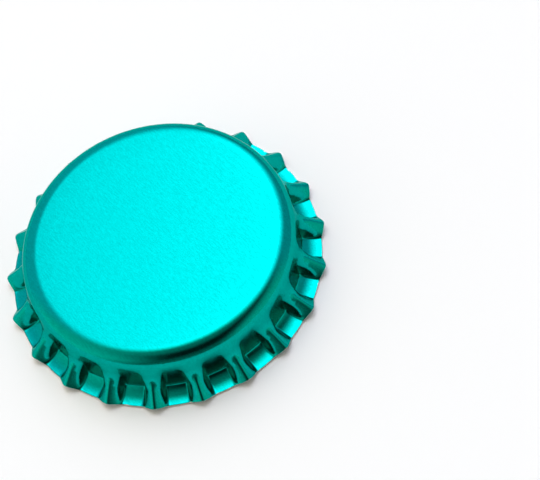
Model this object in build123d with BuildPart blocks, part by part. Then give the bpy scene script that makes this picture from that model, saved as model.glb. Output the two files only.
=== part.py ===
"""Bottle cap: a crown pressed from one disc of thin sheet metal, with 21 flutes in its flared skirt."""

import os
from math import cos, radians, sin, tan

from build123d import *

# Overall sizes, in millimetres
rim_diameter = 32.1  # over the tips of the ridges
body_diameter = 27.15  # outside the top of the wall
height = 5.74
sheet = 0.24
shoulder_radius = 1.8

# Ridges of the skirt: hollow ribs that leave the wall and run down to the tips
flute_count = 21
ridge_angle = 42.5  # of a ridge's back below the horizontal, in degrees
ridge_radius = 1.25  # across a ridge's back
flank_angle = 78  # of a ridge's sides, in degrees

# Dents between the ridges: the wall runs down to a fold, and a floor spreads out from there to the rim
rim_wave = 0.83  # depth of a dent at the rim, square to the ridges' backs
fold_diameter = 27.4
floor_angle = 16.5  # of a dent's floor below the horizontal, in degrees

# How far the shapes run past what they meet
overrun = 0.3

# Directions in a section through the axis, with the radius as x and the height as y
ridge_up = Vector(-cos(radians(ridge_angle)), sin(radians(ridge_angle)))
ridge_out = Vector(ridge_up.Y, -ridge_up.X)
floor_up = Vector(-cos(radians(floor_angle)), sin(radians(floor_angle)))
floor_in = Vector(-floor_up.Y, floor_up.X)

# Corners in that section: the lowest edge of a dent's rim is at height zero
rim_radius = rim_diameter / 2
body_radius = body_diameter / 2
dent_edge = Vector(rim_radius - rim_wave * ridge_out.X, -sheet / floor_in.Y)
tip = dent_edge + ridge_out * rim_wave
fold = dent_edge + floor_up * ((fold_diameter / 2 - dent_edge.X) / floor_up.X)
wall_up = (Vector(body_radius, height - shoulder_radius) - fold).normalized()
wall_in = Vector(-wall_up.Y, wall_up.X)
fold_in = (wall_in + floor_in) / (1 + wall_in.dot(floor_in))
form_radius = rim_radius + overrun
form_base = -ridge_radius * 2
ridge_end = tip - ridge_up * overrun
ridge_run = (body_radius - ridge_end.X - ridge_radius) / ridge_up.X


def skin_form(depth):
    """The whole cap as a solid under the face that lies depth inside the outer one."""
    top = height - depth
    corner = fold + fold_in * depth
    shoulder = corner + wall_up * ((top - corner.Y) / wall_up.Y)
    floor_end = corner + floor_up * ((form_radius - corner.X) / floor_up.X)
    back_radius = ridge_radius - depth
    peak = back_radius / cos(radians(flank_angle)) - ridge_radius
    base_half_width = (peak - form_base) / tan(radians(flank_angle))
    with BuildPart() as ridge:
        end_plane = Plane(
            origin=(ridge_end.X, 0, ridge_end.Y),
            x_dir=(0, -1, 0),
            z_dir=(ridge_up.X, 0, ridge_up.Y),
        )
        with BuildSketch(end_plane) as section:
            Polygon(
                (0, peak),
                (-base_half_width, form_base),
                (base_half_width, form_base),
                align=None,
            )
            fillet(section.vertices().sort_by(Axis.Y)[-1], back_radius)
        extrude(amount=ridge_run)
    with BuildPart() as form:
        with BuildSketch(Plane.XZ) as profile:
            with BuildLine():
                Polyline(
                    (0, form_base),
                    (form_radius, form_base),
                    floor_end,
                    corner,
                    shoulder,
                    (0, top),
                    close=True,
                )
            make_face()
            fillet(profile.vertices().sort_by_distance((shoulder.X, top))[0], shoulder_radius - depth)
        revolve(axis=Axis.Z)
        with PolarLocations(0, flute_count):
            add(ridge.part)
    return form.part


# Cap: the sheet between two faces, with its rim cut off
outer_form = skin_form(0)
inner_form = skin_form(sheet)
with BuildPart() as cap:
    add(outer_form)
    add(inner_form, mode=Mode.SUBTRACT)
    with BuildSketch(Plane.XZ):
        with BuildLine():
            trim_top = tip + ridge_out * overrun
            trim_radius = form_radius + overrun
            trim_base = form_base - overrun
            Polyline(
                (dent_edge.X, trim_base),
                dent_edge,
                trim_top,
                (trim_radius, trim_top.Y),
                (trim_radius, trim_base),
                close=True,
            )
        make_face()
    revolve(axis=Axis.Z, mode=Mode.SUBTRACT)

cap.part.label = "cap_shell"
os.makedirs("parts", exist_ok=True)
export_step(cap.part, "parts/cap_shell.step")
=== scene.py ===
import math

import bpy
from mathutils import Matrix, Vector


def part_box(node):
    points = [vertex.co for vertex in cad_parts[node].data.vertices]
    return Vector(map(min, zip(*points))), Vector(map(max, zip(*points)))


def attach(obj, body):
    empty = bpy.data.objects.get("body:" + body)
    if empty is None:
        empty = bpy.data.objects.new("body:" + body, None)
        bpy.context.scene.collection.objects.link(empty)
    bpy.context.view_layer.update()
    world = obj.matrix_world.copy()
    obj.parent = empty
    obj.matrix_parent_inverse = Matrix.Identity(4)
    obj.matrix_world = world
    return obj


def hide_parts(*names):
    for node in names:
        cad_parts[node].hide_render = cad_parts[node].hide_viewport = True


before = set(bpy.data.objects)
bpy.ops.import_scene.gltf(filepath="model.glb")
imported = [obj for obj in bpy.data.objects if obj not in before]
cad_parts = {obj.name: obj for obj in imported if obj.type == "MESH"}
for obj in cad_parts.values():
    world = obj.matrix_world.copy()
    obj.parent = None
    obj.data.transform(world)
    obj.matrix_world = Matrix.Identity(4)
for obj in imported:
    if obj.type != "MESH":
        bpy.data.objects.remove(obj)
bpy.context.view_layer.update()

# Cap
# A crown cap, stamped in one stroke from a disc of tinplate that was lacquered teal on both sides.
# A ring of punches drove 21 dents into its flared skirt, and the soft sheet between them was left as ridges.
# Its rim was cut when the disc was, so there the edge is bare metal.
shell_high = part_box("cap_shell")[1]
top_height = shell_high.z
tip_radius = shell_high.x
tip_height = 0.000862
body_radius = 0.013575
shoulder_radius = 0.0016
shoulder_turn = math.radians(77)
bend_ease = 1.2
neck_radius = 0.0015
ridge_angle = math.radians(42.5)
flutes = 21
sheet = 0.00024
edge_round = 0.00003

# The line of a ridge, from the middle of the panel out to the tip.
# Each row has a radius, a height, and the outward and upward parts of the direction square to the sheet.
panel_rows = 5
shoulder_rows = 16
wall_rows = 6
neck_rows = 9
back_rows = 26
mid_turns = []
for row in range(shoulder_rows):
    mid_turns.append(shoulder_turn * ((row + 0.5) / shoulder_rows) ** bend_ease)
shoulder_end_radius = body_radius - shoulder_radius * (1 - math.sin(shoulder_turn))
shoulder_drop = shoulder_radius * (1 - math.cos(shoulder_turn))
shoulder_step = shoulder_drop / sum(math.sin(turn) for turn in mid_turns)
panel_radius = shoulder_end_radius - shoulder_step * sum(math.cos(turn) for turn in mid_turns)
ridge_line = []
for row in range(panel_rows + 1):
    ridge_line.append((panel_radius * row / panel_rows, top_height, 0.0, 1.0))
radius = panel_radius
height = top_height
for row in range(shoulder_rows):
    radius += shoulder_step * math.cos(mid_turns[row])
    height -= shoulder_step * math.sin(mid_turns[row])
    turn = shoulder_turn * ((row + 1) / shoulder_rows) ** bend_ease
    ridge_line.append((radius, height, math.sin(turn), math.cos(turn)))
wall_start = len(ridge_line)
wall_radius, wall_height, wall_out, wall_up = ridge_line[-1]
neck_turn = shoulder_turn - ridge_angle
neck_reach = neck_radius * math.tan(neck_turn / 2)
back_out = math.sin(ridge_angle)
back_up = math.cos(ridge_angle)
gap_to_back = (tip_radius - wall_radius) * back_out + (tip_height - wall_height) * back_up
wall_run = gap_to_back / (wall_up * back_out - wall_out * back_up) - neck_reach
for row in range(1, wall_rows + 1):
    run = wall_run * row / wall_rows
    ridge_line.append((wall_radius + wall_up * run, wall_height - wall_out * run, wall_out, wall_up))
neck_start_radius, neck_start_height = ridge_line[-1][:2]
for row in range(1, neck_rows + 1):
    turn = shoulder_turn - neck_turn * row / neck_rows
    ridge_line.append((
        neck_start_radius + neck_radius * (wall_out - math.sin(turn)),
        neck_start_height + neck_radius * (wall_up - math.cos(turn)),
        math.sin(turn),
        math.cos(turn),
    ))
back_start_radius, back_start_height = ridge_line[-1][:2]
for row in range(1, back_rows + 1):
    ridge_line.append((
        back_start_radius + (tip_radius - back_start_radius) * row / back_rows,
        back_start_height + (tip_height - back_start_height) * row / back_rows,
        back_out,
        back_up,
    ))
rim_row = len(ridge_line) - 1

# The punch: how deep it goes at a dent's middle, and how a ridge's side falls from its crest to its foot.
rim_wave = 0.00083
fold_run = 0.001677
floor_rise = 0.488
floor_sag = 0.00056
wall_lean = 0.00005
wall_blend = 0.00003
fold_blend = 0.0002
foot_blend = 0.00016
rim_foot = 0.00131
fold_foot = 0.00114
crest_round = 0.2
leg_start = 0.72
leg_blend = 0.1
leg_steepness = 3.2


def above_zero(value, blend):
    """The value where it is above zero, and close to zero where it is below."""
    return (value + math.sqrt(value * value + blend * blend)) / 2


def soft_least(first, second, blend):
    """The smaller of two lengths, rounded off where they are within blend of each other."""
    nearness = max(blend - abs(first - second), 0.0) / blend
    return min(first, second) - nearness * nearness * blend / 4


def side_fall(side, leg):
    """How far a ridge's side has fallen, at a share of the way from its crest to its foot."""
    return math.hypot(side, crest_round) - crest_round + leg * above_zero(side - leg_start, leg_blend)


punch_depth = []
foot_angle = []
leg_fall = []
for row, (radius, height, out, up) in enumerate(ridge_line):
    run = math.hypot(tip_radius - radius, height - tip_height)
    fold_share = min(run / fold_run, 1.0)
    foot = rim_foot + (fold_foot - rim_foot) * fold_share
    foot_angle.append(foot / max(radius, body_radius))
    leg_fall.append(leg_steepness * fold_share)
    depth = 0.0
    if row >= wall_start:
        lean = wall_lean * ((wall_height - height) / wall_height) ** 2
        wall_depth = above_zero((radius - body_radius - lean) / out, wall_blend)
        floor_depth = rim_wave + floor_rise * run + floor_sag * fold_share * (1 - fold_share)
        depth = soft_least(wall_depth, floor_depth, fold_blend)
    punch_depth.append(depth)

# The disc: a grid of rows from the middle to the rim and of columns around it, pressed to the form.
# The columns gather at the foot of each ridge, where the sheet bends most.
flank_columns = 11
floor_columns = 6
floor_gather = 1.5
worn_rows = 3
merge_distance = 0.000001
flute_columns = 2 * (flank_columns + floor_columns)
columns = flutes * flute_columns
half_pitch = math.pi / flutes
bpy.ops.object.select_all(action="DESELECT")
bpy.ops.mesh.primitive_grid_add(x_subdivisions=columns, y_subdivisions=rim_row, size=1.0)
cap = bpy.context.object
cap.name = "cap"
wear = cap.data.attributes.new("wear", "FLOAT", "POINT")
for vertex in cap.data.vertices:
    column = round((vertex.co.x + 0.5) * columns)
    row = round((vertex.co.y + 0.5) * rim_row)
    radius, height, out, up = ridge_line[row]
    flute, step = divmod(column + flute_columns // 2, flute_columns)
    step -= flute_columns // 2
    if abs(step) <= flank_columns:
        side = abs(step) / flank_columns
        away = foot_angle[row] * side
    else:
        floor_share = ((abs(step) - flank_columns) / floor_columns) ** floor_gather
        away = foot_angle[row] + (half_pitch - foot_angle[row]) * floor_share
        side = away / foot_angle[row]
    if row >= wall_start:
        fall = punch_depth[row] * side_fall(side, leg_fall[row]) / side_fall(1.0, leg_fall[row])
        depth = soft_least(fall, punch_depth[row], min(foot_blend, punch_depth[row]))
        radius -= out * depth
        height -= up * depth
    angle = 2 * half_pitch * flute + math.copysign(away, step)
    vertex.co = (radius * math.cos(angle), radius * math.sin(angle), height)
    wear.data[vertex.index].value = max(row - rim_row + worn_rows, 0) / worn_rows
bpy.ops.object.mode_set(mode="EDIT")
bpy.ops.mesh.select_all(action="SELECT")
bpy.ops.mesh.remove_doubles(threshold=merge_distance)
bpy.ops.mesh.normals_make_consistent(inside=False)
bpy.ops.object.mode_set(mode="OBJECT")


def feed(tree, socket, term):
    """Give a socket a fixed value, or link it to another node's output."""
    if isinstance(term, bpy.types.NodeSocket):
        tree.links.new(term, socket)
    else:
        socket.default_value = term


def noise(tree, place, scale, detail):
    """A cloudy pattern of values between 0 and 1."""
    node = tree.nodes.new("ShaderNodeTexNoise")
    feed(tree, node.inputs["Vector"], place)
    feed(tree, node.inputs["Scale"], scale)
    feed(tree, node.inputs["Detail"], detail)
    return node.outputs["Fac"]


def spread(tree, value, start, end, low=0.0, high=1.0, interpolation="LINEAR"):
    """The range of a value from start to end, spread from low to high."""
    node = tree.nodes.new("ShaderNodeMapRange")
    node.interpolation_type = interpolation
    feed(tree, node.inputs["Value"], value)
    feed(tree, node.inputs["From Min"], start)
    feed(tree, node.inputs["From Max"], end)
    feed(tree, node.inputs["To Min"], low)
    feed(tree, node.inputs["To Max"], high)
    return node.outputs["Result"]


def shades(tree, value, stops, interpolation="LINEAR"):
    """The colour at a value, between stops that each have a value and a colour."""
    node = tree.nodes.new("ShaderNodeValToRGB")
    node.color_ramp.interpolation = interpolation
    elements = node.color_ramp.elements
    elements.remove(elements[1])
    elements[0].position, elements[0].color = stops[0]
    for position, colour in stops[1:]:
        elements.new(position).color = colour
    feed(tree, node.inputs["Fac"], value)
    return node.outputs["Color"]


def reckon(tree, operation, *terms):
    """The result of a sum, product or the like on the terms."""
    node = tree.nodes.new("ShaderNodeMath")
    node.operation = operation
    for socket, term in zip(node.inputs, terms):
        feed(tree, socket, term)
    return node.outputs["Value"]


def mix_levels(tree, share, first, second):
    """A level between two others, by a share from 0 to 1."""
    node = tree.nodes.new("ShaderNodeMix")
    node.data_type = "FLOAT"
    feed(tree, node.inputs[0], share)
    feed(tree, node.inputs[2], first)
    feed(tree, node.inputs[3], second)
    return node.outputs[0]


def mix_colours(tree, share, first, second):
    """A colour between two others, by a share from 0 to 1."""
    node = tree.nodes.new("ShaderNodeMix")
    node.data_type = "RGBA"
    feed(tree, node.inputs[0], share)
    feed(tree, node.inputs[6], first)
    feed(tree, node.inputs[7], second)
    return node.outputs[2]


# The lacquer: clear teal over bright tin, so it shines as coloured metal, with the sheet's rolling streaks.
# A fine grain dulls it a little, and near the rim it is chipped to the tin.
dark_teal = (0.0, 0.28, 0.237, 1.0)
light_teal = (0.0, 0.384, 0.328, 1.0)
chipped_tin = (0.55, 0.5, 0.46, 1.0)
roll_turn = math.radians(50)
streak_scale = (1700.0, 8000.0, 1700.0)
grain_depth = 0.00002
grain_share = 0.6
lacquer = bpy.data.materials.new("teal_lacquer")
lacquer.use_nodes = True
tree = lacquer.node_tree
shader = tree.nodes["Principled BSDF"]
shader.inputs["Metallic"].default_value = 1.0
shader.inputs["Specular Tint"].default_value = (0.35, 0.75, 0.7, 1.0)
place = tree.nodes.new("ShaderNodeTexCoord").outputs["Object"]
roll_direction = tree.nodes.new("ShaderNodeMapping")
feed(tree, roll_direction.inputs["Vector"], place)
feed(tree, roll_direction.inputs["Rotation"], (0.0, 0.0, roll_turn))
roll_stretch = tree.nodes.new("ShaderNodeMapping")
feed(tree, roll_stretch.inputs["Vector"], roll_direction.outputs["Vector"])
feed(tree, roll_stretch.inputs["Scale"], streak_scale)
streaks = noise(tree, roll_stretch.outputs["Vector"], scale=1.0, detail=3.0)
grain = noise(tree, place, scale=11000.0, detail=2.0)
mottle = mix_levels(tree, grain_share, streaks, grain)
teal = shades(tree, mottle, [(0.35, dark_teal), (0.65, light_teal)])
rim_wear = tree.nodes.new("ShaderNodeAttribute")
rim_wear.attribute_name = "wear"
chips = noise(tree, place, scale=2200.0, detail=3.0)
chipped = spread(tree, reckon(tree, "MULTIPLY", rim_wear.outputs["Fac"], chips), start=0.5, end=0.62)
feed(tree, shader.inputs["Base Color"], mix_colours(tree, chipped, teal, chipped_tin))
feed(tree, shader.inputs["Roughness"], spread(tree, grain, start=0.3, end=0.7, low=0.12, high=0.2))
bump = tree.nodes.new("ShaderNodeBump")
feed(tree, bump.inputs["Strength"], 0.1)
feed(tree, bump.inputs["Distance"], grain_depth)
feed(tree, bump.inputs["Height"], grain)
feed(tree, shader.inputs["Normal"], bump.outputs["Normal"])
cap.data.materials.append(lacquer)

# The cut edge: bare steel between its two coats of tin, dull and marked by the shears.
dull_steel = (0.46, 0.39, 0.35, 1.0)
bright_steel = (0.72, 0.66, 0.61, 1.0)
bare = bpy.data.materials.new("bare_edge")
bare.use_nodes = True
tree = bare.node_tree
shader = tree.nodes["Principled BSDF"]
shader.inputs["Metallic"].default_value = 0.8
place = tree.nodes.new("ShaderNodeTexCoord").outputs["Object"]
shear_marks = noise(tree, place, scale=5000.0, detail=2.0)
steel = shades(tree, shear_marks, [(0.0, dull_steel), (1.0, bright_steel)])
feed(tree, shader.inputs["Base Color"], steel)
feed(tree, shader.inputs["Roughness"], spread(tree, shear_marks, start=0.0, end=1.0, low=0.35, high=0.6))
cap.data.materials.append(bare)

# The sheet's thickness, with the bare edge all along the rim and its corners broken.
thickness = cap.modifiers.new("thickness", "SOLIDIFY")
thickness.thickness = sheet
thickness.offset = -1.0
thickness.material_offset_rim = 1
bpy.ops.object.modifier_apply(modifier="thickness")
bpy.ops.object.mode_set(mode="EDIT")
bpy.ops.mesh.select_all(action="DESELECT")
cap.active_material_index = 1
bpy.ops.object.material_slot_select()
bpy.ops.mesh.region_to_loop()
bpy.ops.mesh.bevel(offset=edge_round, segments=2)
bpy.ops.object.mode_set(mode="OBJECT")
bpy.ops.object.shade_smooth_by_angle(angle=math.radians(40))
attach(cap, "root")
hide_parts("cap_shell")

# Floor
# A wide sheet of matt white paper that the cap lies on, laid flat and past the edges of every view.
# Where it is seen or mirrored, a small lift of its own makes up what it lacks to white.
white = (1.0, 1.0, 1.0, 1.0)
paper_white = (0.93, 0.93, 0.93, 1.0)
paper_lift = 0.03
bpy.ops.object.select_all(action="DESELECT")
bpy.ops.mesh.primitive_plane_add(size=3.0, location=(0.0, 0.0, 0.0))
floor = bpy.context.object
floor.name = "floor"
paper = bpy.data.materials.new("white_paper")
paper.use_nodes = True
tree = paper.node_tree
shader = tree.nodes["Principled BSDF"]
shader.inputs["Base Color"].default_value = paper_white
shader.inputs["Roughness"].default_value = 0.9
shader.inputs["Emission Color"].default_value = white
ray = tree.nodes.new("ShaderNodeLightPath").outputs
seen_or_mirrored = reckon(tree, "MAXIMUM", ray["Is Camera Ray"], ray["Is Glossy Ray"])
or_looked_through = reckon(tree, "MAXIMUM", seen_or_mirrored, ray["Is Transmission Ray"])
feed(tree, shader.inputs["Emission Strength"], reckon(tree, "MULTIPLY", or_looked_through, paper_lift))
floor.data.materials.append(paper)

# Light
# A wide window stands beyond the cap, brightest high up and at the middle, in a dim and warmer room.
# The room is darkest halfway up behind the camera, and paler at its sides, low down and overhead.
# A warm soft box beyond the cap, at the left, evens out the paper and stays out of the metal's reflections.
daylight = (0.96, 1.0, 1.18, 1.0)
room_light = (1.0, 0.98, 0.83, 1.0)
pale_wall = (0.35, 0.35, 0.35, 1.0)
dim_wall = (0.16, 0.16, 0.16, 1.0)
dark_wall = (0.02, 0.02, 0.02, 1.0)
window_slant = -0.35
window_left_level = 0.82
window_right_level = 0.55
room_slant = 0.7
room_slant_top = 0.5
smooth = "SMOOTHSTEP"
world = bpy.data.worlds.new("studio")
world.use_nodes = True
tree = world.node_tree
background = tree.nodes["Background"]
direction = tree.nodes.new("ShaderNodeSeparateXYZ")
feed(tree, direction.inputs["Vector"], tree.nodes.new("ShaderNodeTexCoord").outputs["Generated"])
leftward = direction.outputs["X"]
nearward = direction.outputs["Y"]
upward = direction.outputs["Z"]

beyond = spread(tree, nearward, start=0.1, end=-0.36, interpolation=smooth)
window_height = spread(tree, upward, start=0.2, end=0.75, low=0.55, high=3.7, interpolation=smooth)
left_and_far = reckon(tree, "MULTIPLY_ADD", nearward, window_slant, leftward)
window_left = spread(tree, left_and_far, start=0.19, end=0.61, interpolation=smooth)
window_right = spread(tree, leftward, start=-0.02, end=-0.6, interpolation=smooth)
left_and_middle = mix_levels(tree, window_left, window_height, window_left_level)
window = mix_levels(tree, window_right, left_and_middle, window_right_level)

slant_height = reckon(tree, "MINIMUM", upward, room_slant_top)
low_shift = reckon(tree, "MULTIPLY_ADD", slant_height, room_slant, -room_slant * room_slant_top)
left_and_high = reckon(tree, "ADD", leftward, low_shift)
room_left = spread(tree, left_and_high, start=0.05, end=0.7, high=0.88, interpolation=smooth)
room_right = spread(tree, leftward, start=-0.45, end=-0.85, high=0.62, interpolation=smooth)
wall_stops = [(0.0, pale_wall), (0.35, dim_wall), (0.6, dark_wall), (0.82, dark_wall), (1.0, pale_wall)]
room_height = shades(tree, upward, wall_stops, interpolation="EASE")
room = reckon(tree, "ADD", reckon(tree, "ADD", room_left, room_right), room_height)

feed(tree, background.inputs["Strength"], mix_levels(tree, beyond, room, window))
feed(tree, background.inputs["Color"], mix_colours(tree, beyond, room_light, daylight))
bpy.context.scene.world = world

soft_box_data = bpy.data.lights.new("soft_box", "AREA")
soft_box_data.energy = 4.0
soft_box_data.size = 1.0
soft_box_data.color = (1.12, 1.0, 0.55)
soft_box = bpy.data.objects.new("soft_box", soft_box_data)
soft_box.location = (0.6, -0.7, 1.0)
soft_box.rotation_euler = (math.radians(42.7), 0.0, math.radians(40.6))
soft_box.visible_glossy = False
bpy.context.scene.collection.objects.link(soft_box)

# Camera
# A long lens that looks down on the cap from the front.
# It is rolled to the photograph's tilt, and the cap lies left of the middle of its view.
camera_data = bpy.data.cameras.new("camera")
camera_data.lens = 160.0
camera_data.sensor_width = 36.0
camera_data.clip_start = 0.01
camera = bpy.data.objects.new("camera", camera_data)
camera.location = (-0.042653, 0.114758, 0.20272)
camera.rotation_euler = (math.radians(29.3036), math.radians(9.8809), math.radians(178.5346))
bpy.context.scene.collection.objects.link(camera)
bpy.context.scene.camera = camera

bpy.context.scene.view_settings.view_transform = "Standard"
